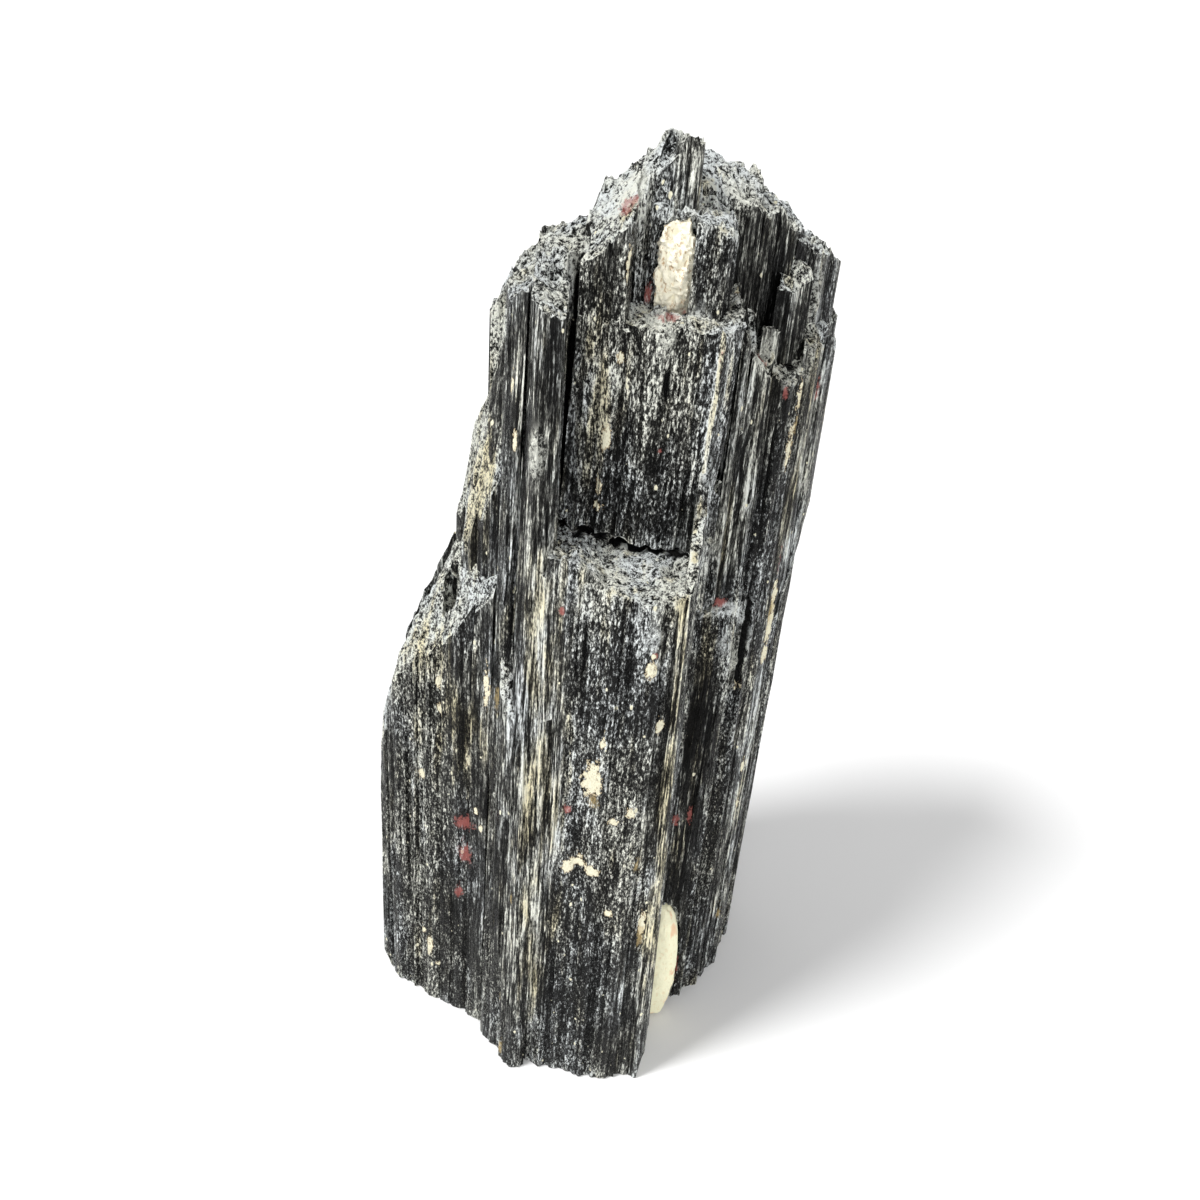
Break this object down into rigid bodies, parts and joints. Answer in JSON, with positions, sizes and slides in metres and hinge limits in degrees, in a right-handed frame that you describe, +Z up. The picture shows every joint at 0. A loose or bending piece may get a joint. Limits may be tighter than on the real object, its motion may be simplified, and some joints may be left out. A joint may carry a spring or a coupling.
{
  "type": "tourmaline crystal",
  "caption": "Raw black tourmaline crystal: upright striated prisms grown together, broken off at stepped heights, with cream feldspar in its hollows, standing on a flat broken base.",
  "frame": {"origin": "middle of the footprint on the flat base that the crystal stands on", "axes": "+Z up along the prisms, +X to the right and -Y towards a viewer who faces the ledge"},
  "size_m": [0.053, 0.0458, 0.1218],
  "materials": {
    "tourmaline": "black, glassy along fine lengthwise grooves, with grey and beige dusty streaks and granular grey breaks",
    "feldspar": "matt cream to yellowish, with pink and rust-brown stains"
  },
  "bodies": {
    "root": {"tourmaline_crystal": "tourmaline", "feldspar_lens": "feldspar", "feldspar_crust": "feldspar"}
  },
  "joints": []
}
